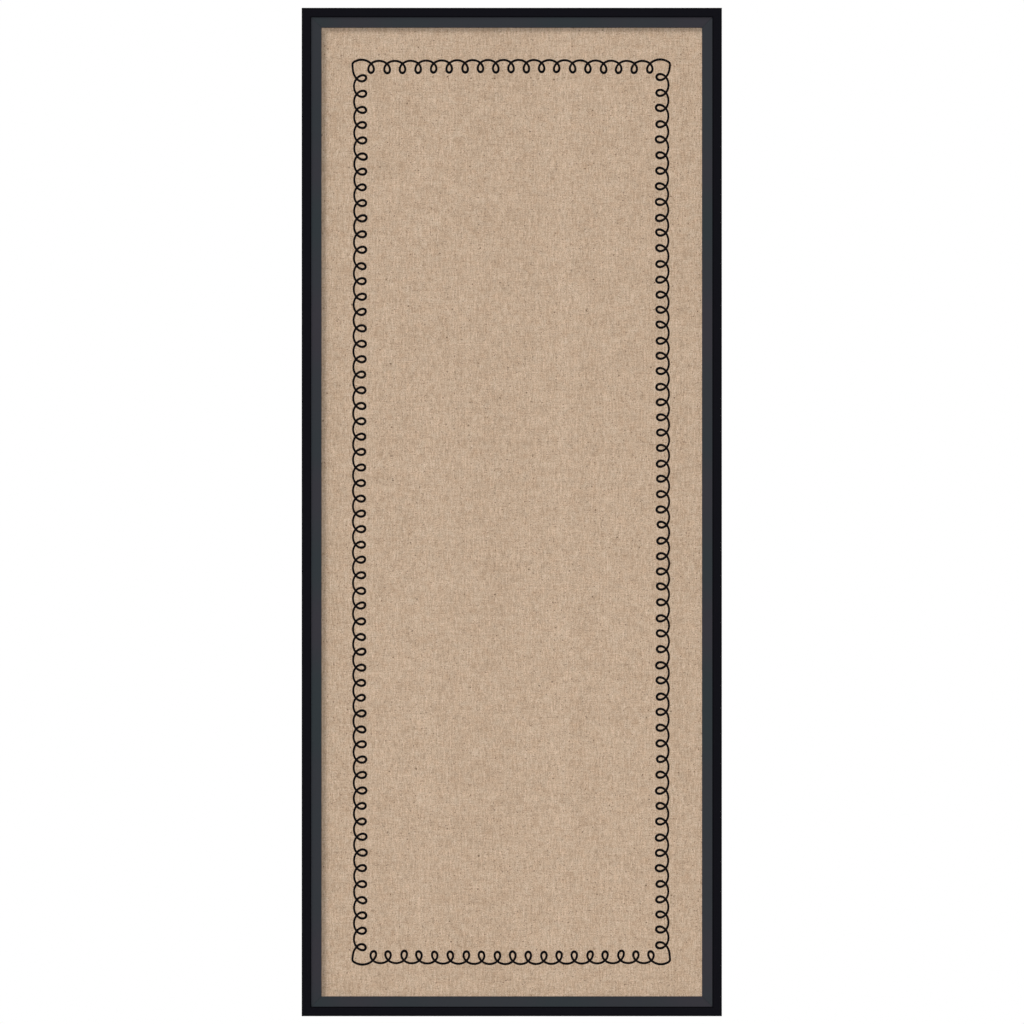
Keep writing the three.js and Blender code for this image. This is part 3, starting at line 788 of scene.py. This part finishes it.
def linen_rings():
    """Each ring round the edge as the amount drawn in, the corner's radius and the place along Y."""
    angles = [QUARTER * i / ROUNDING_STEPS for i in range(ROUNDING_STEPS + 1)]
    rings = []
    for angle in angles[1:]:
        drawn = FRONT_ROUNDING * (1 - math.sin(angle))
        depth = LINEN_FRONT + FRONT_ROUNDING * (1 - math.cos(angle))
        rings.append((drawn, FRONT_ROUNDING * math.sin(angle), depth))
    for angle in angles:
        drawn = BACK_ROUNDING * (1 - math.cos(angle))
        depth = LINEN_BACK - BACK_ROUNDING * (1 - math.sin(angle))
        rings.append((drawn, FRONT_ROUNDING * math.cos(angle), depth))
    return rings


def add_edge_ring(cloth, rim, drawn, radius, depth):
    """A ring of the cloth round the panel's edge."""
    wide = COVER_HALF_WIDTH - drawn
    tall = COVER_HALF_HEIGHT - drawn
    ring = []
    for x, z in rim[:-1]:
        spread = (x * wide / FLAT_HALF_WIDTH, z * tall / FLAT_HALF_HEIGHT)
        ring_x, ring_z = rounded_corner(*spread, wide, tall, radius)
        ring.append(cloth.place(ring_x, depth, ring_z))
    return [*ring, ring[0]]


def add_flap(cloth, rim, edge, upright):
    """One folded flap, with its ends drawn in to the mitres and a slightly uneven cut edge."""
    for step in FLAP_ROWS:
        row = []
        for x, z in rim:
            ragged = uneven(x, z, *FLAP_RAGGEDNESS) if step == FLAP_ROWS[-1] else 0.0
            wide = COVER_HALF_WIDTH - BACK_ROUNDING - step + ragged
            tall = COVER_HALF_HEIGHT - BACK_ROUNDING - step + ragged
            if upright:
                spot = (math.copysign(wide, x), z / FLAT_HALF_HEIGHT * (tall - MITRE_GAP))
                from_mitre = (tall - abs(spot[1])) / math.sqrt(2)
            else:
                spot = (x / FLAT_HALF_WIDTH * (wide - MITRE_GAP), math.copysign(tall, z))
                from_mitre = (wide - abs(spot[0])) / math.sqrt(2)
            puff = PUFF * math.exp(-from_mitre / PUFF_WIDTH) * min(1.0, step / PUFF_START)
            row.append(cloth.place(spot[0], LINEN_BACK + puff + uneven(*spot, *FLAP_LIFT), spot[1]))
        cloth.join(edge, row)
        edge = row


def linen_wrap():
    """The whole cloth: the front, the rings round the panel's edge and the four flaps."""
    cloth = Cloth()
    lines_x = grid_lines(FLAT_HALF_WIDTH)
    lines_z = grid_lines(FLAT_HALF_HEIGHT)
    spots = [[(x, z) for x in lines_x] for z in lines_z]
    front = [
        [cloth.place(x, LINEN_FRONT + abs(uneven(x, z, *FRONT_SLACK)), z) for x, z in row] for row in spots
    ]
    for row, upper_row in zip(front, front[1:]):
        cloth.join(upper_row, row)

    rim = grid_edge(spots)
    edge = grid_edge(front)
    for drawn, radius, depth in linen_rings():
        ring = add_edge_ring(cloth, rim, drawn, radius, depth)
        cloth.join(edge, ring)
        edge = ring

    start = 0
    for lines, upright in ((lines_x, False), (lines_z, True)) * 2:
        end = start + len(lines) - 1
        add_flap(cloth, rim[start : end + 1], edge[start : end + 1], upright)
        start = end

    piece = add_piece("linen_wrap", cloth.places, cloth.faces, linen_look(), "board", closed=False)
    thicken = piece.modifiers.new("thickness", "SOLIDIFY")
    thicken.thickness = CLOTH
    thicken.offset = -1
    thicken.use_even_offset = True
    apply_modifiers(piece)
    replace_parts(piece, "linen_cover")


# Looped line: rows of trochoid loops that turn inwards, joined at the corners by two lobes


def crossing_angle(advance, swing):
    """The angle at which a trochoid crosses itself, by halving the span that it lies in."""
    low = math.acos(advance / swing)
    high = math.pi
    for _ in range(HALVINGS):
        middle = (low + high) / 2
        if swing * math.sin(middle) > advance * middle:
            low = middle
        else:
            high = middle
    return (low + high) / 2


def lobe(start, leaving, end, arriving):
    """Points along a curve that leaves one place and arrives at another in the given directions."""
    handle = LOBE_HANDLE_SHARE * (end - start).length
    bend = start + leaving * handle
    next_bend = end - arriving * handle
    points = []
    for i in range(LOBE_STEPS + 1):
        t = i / LOBE_STEPS
        s = 1 - t
        points.append(start * s**3 + bend * (3 * s * s * t) + next_bend * (3 * s * t * t) + end * t**3)
    return points


def line_width(angle):
    """The line's width at an angle of the trochoid."""
    return LINE_WIDTH * (1 + LOOP_SWELL_SHARE * math.cos(angle))


class LoopRow:
    """One side's row, with X along it and Y outwards. A station is a point and the line's width there."""

    def __init__(self, half_run, corner_run, arc_line, swing, draw):
        self.half_loops = half_run - corner_run
        self.gaps = round(2 * self.half_loops / LOOP_PITCH)
        self.pitch = 2 * self.half_loops / self.gaps
        self.advance = self.pitch / (2 * math.pi)
        self.arc_line = arc_line
        self.swing = swing
        self.close = crossing_angle(self.advance, swing)
        self.tilts, self.sizes, self.shifts = (
            [draw.gauss(0, spread) for _ in range(self.gaps + 1)] for spread in LOOP_SPREADS
        )

    def at(self, loop, angle):
        """A point on a loop or on the half arcs beside it, with that loop's own tilt, size and place."""
        whole = (1 + math.cos(angle)) / 2
        size = 1 + self.sizes[loop] * whole
        x = (self.advance * angle - self.swing * math.sin(angle)) * size
        y = (-LOOP_RISE - LOOP_RISE * math.cos(angle)) * size
        x -= y * self.tilts[loop] * whole
        along = loop * self.pitch - self.half_loops - LOOP_LAG
        return Vector((along + x + self.shifts[loop] * whole, self.arc_line + y))

    def loops(self):
        """The stations of the loops and of the arcs between them."""
        stations = []
        for loop in range(self.gaps + 1):
            for i in range(LOOP_STEPS + 1):
                angle = self.close * (2 * i / LOOP_STEPS - 1)
                stations.append((self.at(loop, angle), line_width(angle)))
            if loop < self.gaps:
                stations += self.arc_after(loop)
        return stations

    def arc_after(self, loop):
        """The stations that lead from a loop to the next."""
        stations = []
        for i in range(1, ARC_STEPS):
            share = i / ARC_STEPS
            angle = self.close + (2 * math.pi - 2 * self.close) * share
            after = self.at(loop + 1, angle - 2 * math.pi)
            stations.append((self.at(loop, angle).lerp(after, share), line_width(angle)))
        return stations

    def whole(self, half_run, corner_line, lobe_angle):
        """All the row's stations, from one corner up to the next."""
        width = line_width(self.close)
        rising = Vector((math.cos(lobe_angle), math.sin(lobe_angle)))
        falling = Vector((rising.x, -rising.y))
        run = self.advance - self.swing * math.cos(self.close)
        entering = Vector((run, -LOOP_RISE * math.sin(self.close))).normalized()
        leaving = Vector((entering.x, -entering.y))
        corner = Vector((-half_run, corner_line))
        next_corner = Vector((half_run, corner_line))
        first = lobe(corner, rising, self.at(0, -self.close), entering)
        last = lobe(self.at(self.gaps, self.close), leaving, next_corner, falling)
        stations = [(point, width) for point in first[:-1]]
        stations += self.loops()
        stations += [(point, width) for point in last[1:-1]]
        return stations


def border_line():
    """The whole line's stations round the board, clockwise from the top left corner."""
    draw = random.Random(LINE_SEED)
    half_width = FRAME_HALF_WIDTH - FACE_WIDTH - BORDER_INSET
    half_height = FRAME_HALF_HEIGHT - FACE_WIDTH - BORDER_INSET
    corner_x = half_width + CORNER_OUTSET
    corner_z = half_height - CORNER_DROP
    across = (corner_x, CORNER_RUN_ACROSS, half_height, LOOP_SWING_ACROSS, corner_z, LOBE_ANGLE_ACROSS)
    down = (corner_z, CORNER_RUN_DOWN, half_width, LOOP_SWING_DOWN, corner_x, LOBE_ANGLE_DOWN)
    stations = []
    for turn, side in enumerate((across, down, across, down)):
        half_run, corner_run, arc_line, swing, corner_line, lobe_angle = side
        turned = Matrix.Rotation(-turn * QUARTER, 2)
        row = LoopRow(half_run, corner_run, arc_line, swing, draw)
        for point, width in row.whole(half_run, corner_line, lobe_angle):
            outward, along = stray(0.5 + point.x / (2 * half_run), ROW_STRAY[turn])
            stations.append((turned @ Vector((point.x + along, point.y + outward)), width))
    return round_corners(stations)


def stray(share, waves):
    """How far a row has strayed outwards and along, at a share of its length."""
    hold = min(1.0, share / ROW_END_SHARE, (1 - share) / ROW_END_SHARE)
    return [
        hold * MM * (offset + swing * math.sin(2 * math.pi * cycles * share + phase))
        for offset, swing, cycles, phase in waves
    ]


def round_corners(stations):
    """Softens the points where two lobes meet, as a pen does."""
    places = [place for place, _ in stations]
    for _ in range(PEN_PASSES):
        smooth = list(places)
        for i, here in enumerate(places):
            before = places[i - 1]
            after = places[(i + 1) % len(places)]
            if (here - before).angle(after - here, 0.0) > PEN_TURN:
                smooth[i] = here * 0.5 + (before + after) * 0.25
        places = smooth
    return [(place, width) for place, (_, width) in zip(places, stations)]


def border_ink():
    """The printed line: a thin, slightly domed ribbon with uneven edges."""
    stations = border_line()
    count = len(stations)
    places = []
    for i, (place, width) in enumerate(stations):
        before = stations[i - 1][0]
        after = stations[(i + 1) % count][0]
        first = (place - before).normalized()
        second = (after - place).normalized()
        mean = (first + second).normalized()
        side = Vector((-mean.y, mean.x)) / max(LEAST_TURN_COSINE, mean.dot(second))
        width *= 1 + NIB_SHARE * (mean.x**2 - mean.y**2)
        for across, up in LINE_SECTION:
            edge = uneven(place.x, place.y, *LINE_RAGGEDNESS, across)
            reach = width / 2 * across + (edge if across > 0 else -edge)
            x = FRAME_MIDDLE.x + PRINT_SHIFT + place.x + side.x * reach
            z = FRAME_MIDDLE.z + place.y + side.y * reach
            places.append((x, LINEN_FRONT + LINE_SUNK - (LINE_SUNK + LINE_HEIGHT) * up, z))
    faces = band_faces(count, len(LINE_SECTION), closed=True)
    piece = add_piece("border_ink", places, faces, ink_look(), "board")
    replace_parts(piece, "border_print")


# Frame: the glue in its four mitres


def moulding_section():
    """The moulding's outline, drawn in all round: width from the outer side and height off the wall."""
    bevel_top = FRAME_DEPTH - BAND_STEP
    lip_front = bevel_top - BEVEL_DROP
    lip_back = lip_front - LIP_THICKNESS
    back_width = FACE_WIDTH - RABBET_WIDTH
    slope = math.atan2(BEVEL_DROP, FACE_WIDTH - BAND_WIDTH)
    nose = LIP_NOSE_RADIUS
    setback = nose * math.tan((QUARTER - slope) / 2)
    edge = BAND_EDGE_RADIUS
    corner = OUTER_CORNER_RADIUS
    inset = GLUE_INSET
    return [
        Vector((inset, inset)),
        Vector((back_width - inset, inset)),
        Vector((back_width - inset, lip_back + inset)),
        Vector((FACE_WIDTH - inset, lip_back + inset)),
        *arc(FACE_WIDTH - nose, lip_front - setback, nose - inset, 0, QUARTER - slope, steps=6),
        Vector((BAND_WIDTH - inset, bevel_top - inset)),
        *arc(BAND_WIDTH - edge, FRAME_DEPTH - edge, edge - inset, 0, QUARTER, steps=6),
        *arc(corner, FRAME_DEPTH - corner, corner - inset, QUARTER, 2 * QUARTER, steps=6),
    ]


def mitre_glue(look):
    """A dark film in each mitre, just under the surface."""
    section = moulding_section()
    size = len(section)
    half = GLUE_THICKNESS / (2 * math.sqrt(2))
    for name, right, up in (
        ("top_left", -1, 1), ("top_right", 1, 1), ("bottom_right", 1, -1), ("bottom_left", -1, -1)
    ):
        places = [
            (
                FRAME_MIDDLE.x + right * (FRAME_HALF_WIDTH - width + side * half),
                -height,
                FRAME_MIDDLE.z + up * (FRAME_HALF_HEIGHT - width - side * half),
            )
            for side in (1, -1)
            for width, height in section
        ]
        faces = end_faces(2, size) + band_faces(2, size)
        add_piece(f"mitre_glue_{name}", places, faces, look, "board")


# Hangers: folded straps, D-rings and screws


def ring_path():
    """The D-ring's centre line: across is X, and Y runs from the straight bar to the bow."""
    half_width = (RING_EYE_WIDTH + RING_WIRE) / 2
    half_bar = half_width - RING_CORNER_RADIUS
    corner = RING_CORNER_RADIUS
    return [
        *arc(-half_bar, corner, corner, 3 * QUARTER, 2 * QUARTER, steps=8),
        *arc(0, RING_SIDE, half_width, 2 * QUARTER, 0, steps=40),
        *arc(half_bar, corner, corner, 0, -QUARTER, steps=8),
        *(Vector((half_bar * third / 3, 0)) for third in (2, 1, 0, -1, -2)),
    ]


def d_ring(side, look):
    """The ring at rest: its bar in the strap's fold and its bow leaning back to the rail."""
    hinge = next(joint for joint in frame["joints"] if joint["child"] == f"ring_{side}")
    middle = Vector(hinge["pos_m"])
    radius = RING_WIRE / 2
    reach = RING_SIDE + (RING_EYE_WIDTH + RING_WIRE) / 2
    lean = math.asin((middle.y - radius - RING_STOP_GAP) / reach)
    along = Vector((0, -math.sin(lean), math.cos(lean)))
    off = Vector((0, math.cos(lean), math.sin(lean)))
    across = Vector((1, 0, 0))
    path = ring_path()
    count = len(path)
    places = []
    for i, point in enumerate(path):
        heading = (path[(i + 1) % count] - path[i - 1]).normalized()
        outward = across * -heading.y + along * heading.x
        for angle in round_angles(RING_SIDES):
            ray = outward * math.cos(angle) + off * math.sin(angle)
            places.append(middle + across * point.x + along * point.y + ray * radius)
    faces = band_faces(count, RING_SIDES, closed=True)
    piece = add_piece(f"ring_{side}_wire", places, faces, look, f"ring_{side}")
    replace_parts(piece, f"d_ring_{side}")


def strap(side, look):
    """The folded strap, with the burr taken off its stamped edges."""
    node = f"strap_hanger_{side}"
    form = bmesh.new()
    form.from_mesh(frame["nodes"][node].data)
    bmesh.ops.remove_doubles(form, verts=form.verts, dist=STRAP_WELD_REACH)
    bmesh.ops.dissolve_limit(form, angle_limit=STRAP_FLAT_ANGLE, verts=form.verts, edges=form.edges)
    crisp = [edge for edge in form.edges if edge.is_manifold and edge.calc_face_angle() > STRAP_EDGE_ANGLE]
    bmesh.ops.bevel(
        form, geom=crisp, offset=STRAP_ROUNDING, segments=2, profile=0.5, affect="EDGES", clamp_overlap=True
    )
    mesh = bpy.data.meshes.new(f"strap_{side}")
    form.to_mesh(mesh)
    form.free()
    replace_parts(finish_piece(f"strap_{side}", mesh, look, "board"), node)


def hanger_screw(side, look):
    """A pan head with a tapered cross recess, on a plain shank."""
    low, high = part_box(f"hanger_screw_{side}")
    middle = (low + high) / 2
    head = (high.x - low.x) / 2
    seat = high.y - SCREW_HEAD_HEIGHT
    rise = SCREW_HEAD_HEIGHT - SCREW_EDGE_HEIGHT
    bevel_in, bevel_up = SCREW_EDGE_BEVEL
    dome = arc(0, 0, 1, start=0.06, end=QUARTER - 0.08, steps=9)
    profile = [(0, low.y), (SCREW_WIDTH / 2, low.y + SCREW_TIP), (SCREW_WIDTH / 2, seat)]
    profile += [(head - bevel_in, seat), (head, seat + bevel_up)]
    profile += [(head * point.x, seat + SCREW_EDGE_HEIGHT + rise * point.y) for point in dome]
    profile += [(0, high.y)]
    places, faces = lathe(profile, middle.x, middle.z, sides=40)
    piece = add_piece(f"screw_{side}", places, faces, look, "board")
    cutter = cross_cutter(middle.x, middle.z, high.y)
    cut = piece.modifiers.new("recess", "BOOLEAN")
    cut.operation = "DIFFERENCE"
    cut.solver = "EXACT"
    cut.object = cutter
    apply_modifiers(piece)
    bpy.data.objects.remove(cutter)
    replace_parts(piece, f"hanger_screw_{side}")


def cross_cutter(x, z, top):
    """A cross that narrows downwards, to cut a screw's recess."""
    arm = RECESS_SPAN / 2
    half = RECESS_WIDTH / 2
    above = (top + RECESS_DEPTH / 3, RECESS_TOP_SCALE)
    floor = (top - RECESS_DEPTH, RECESS_FLOOR_SCALE)
    places = []
    for level, scale in (above, floor):
        for turn in range(4):
            turned = Matrix.Rotation(turn * QUARTER + RECESS_TURN, 2)
            for point in ((arm, -half), (arm, half), (half, half)):
                spot = turned @ Vector(point) * scale
                places.append((x + spot.x, level, z + spot.y))
    size = len(places) // 2
    mesh = new_mesh("recess", places, end_faces(2, size) + band_faces(2, size))
    face_outwards(mesh)
    return add_object("recess", mesh)


# Bumpers, and the staples in the linen's flaps


def bumper(side, look):
    """A drafted pad with a rounded edge and a shallow dish in its top."""
    node = f"bumper_{side}"
    low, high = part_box(node)
    middle = (low + high) / 2
    foot = (high.x - low.x) / 2
    edge = BUMPER_EDGE_RADIUS
    shoulder = foot - BUMPER_DRAFT - edge
    profile = [(0, low.y), (foot - BUMPER_FOOT_BEVEL, low.y), (foot, low.y + BUMPER_FOOT_BEVEL)]
    profile += [tuple(point) for point in arc(shoulder, high.y - edge, edge, 0.1, QUARTER, steps=6)]
    profile += [(shoulder * share, high.y - depth) for share, depth in BUMPER_DISH]
    places, faces = lathe(profile, middle.x, middle.z, sides=40)
    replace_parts(add_piece(f"rubber_{side}", places, faces, look, "board"), node)


def staple_line():
    """The crown's centre line: along is X, and Y is off the cloth."""
    half = STAPLE_WIDTH / 2
    bend = STAPLE_BEND
    return [
        Vector((-half, -STAPLE_SINK)),
        *arc(-half + bend, -bend, bend, 2 * QUARTER, QUARTER, steps=4),
        Vector((0, STAPLE_CROWN)),
        *arc(half - bend, -bend, bend, QUARTER, 0, steps=4),
        Vector((half, -STAPLE_SINK)),
    ]


def staple(middle, run, off):
    """The places of a driven staple: a flat wire crown with rounded shoulders that sink into the cloth."""
    line = staple_line()
    places = []
    for i, point in enumerate(line):
        heading = (line[min(i + 1, len(line) - 1)] - line[max(i - 1, 0)]).normalized()
        out = Vector((-heading.y, heading.x))
        for wide, tall in STAPLE_SECTION:
            spot = point + out * (tall * STAPLE_THICKNESS / 2)
            places.append(middle + run * spot.x + Vector((0, spot.y, 0)) + off * (wide * STAPLE_BREADTH / 2))
    return places


def staples(look):
    """A row along each flap, each staple a little off its mark, as a hand gun leaves them."""
    draw = random.Random(STAPLE_SEED)
    crown = Vector((COVER_MIDDLE.x, LINEN_BACK + STAPLE_THICKNESS / 2, COVER_MIDDLE.z))
    row_x = COVER_HALF_WIDTH - STAPLE_INSET
    row_z = COVER_HALF_HEIGHT - STAPLE_INSET
    sections = len(staple_line())
    size = len(STAPLE_SECTION)
    for name, half, row, along in (
        ("top", COVER_HALF_WIDTH, (0, 0, row_z), (1, 0, 0)),
        ("bottom", COVER_HALF_WIDTH, (0, 0, -row_z), (1, 0, 0)),
        ("left", COVER_HALF_HEIGHT, (-row_x, 0, 0), (0, 0, 1)),
        ("right", COVER_HALF_HEIGHT, (row_x, 0, 0), (0, 0, 1)),
    ):
        places = []
        faces = []
        along = Vector(along)
        off = Vector((along.z, 0, along.x))
        count = round(2 * half / STAPLE_PITCH)
        for i in range(count):
            run = half * ((2 * i + 1) / count - 1) + draw.gauss(0, STAPLE_SPREAD_ALONG)
            aside = off * draw.gauss(0, STAPLE_SPREAD_ASIDE)
            turn = Matrix.Rotation(draw.gauss(0, STAPLE_SPREAD_TURN), 3, "Y")
            start = len(places)
            places += staple(crown + Vector(row) + along * run + aside, turn @ along, turn @ off)
            faces += band_faces(sections, size, start) + end_faces(sections, size, start)
        add_piece(f"staples_{name}", places, faces, look, "board")


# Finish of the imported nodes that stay


def dress_nodes(bright_steel):
    looks = {
        "_rail": paint_look(),
        "v_nail": bright_steel,
        "framers_point": bright_steel,
        "cork": cork_look(),
        "backer": hardboard_look(),
    }
    for name, node in frame["nodes"].items():
        for part, look in looks.items():
            if part in name:
                node.data.materials.clear()
                node.data.materials.append(look)


def add_hardware():
    zinc = steel_look("zinc_plate", srgb(206, 208, 210), srgb(150, 153, 158), smoothest=0.18, brushing=0.3)
    rubber = rubber_look()
    for side in ("left", "right"):
        strap(side, zinc)
        d_ring(side, zinc)
        hanger_screw(side, zinc)
        bumper(side, rubber)


bpy.context.scene.view_settings.view_transform = "Standard"
add_floor()
add_world(ambient=0.1)
add_lamps()
add_camera()
bright_steel = steel_look(
    "bright_steel", srgb(176, 178, 180), srgb(140, 142, 145), smoothest=0.28, brushing=0.2
)
dress_nodes(bright_steel)
linen_wrap()
border_ink()
mitre_glue(glue_look())
staples(bright_steel)
add_hardware()
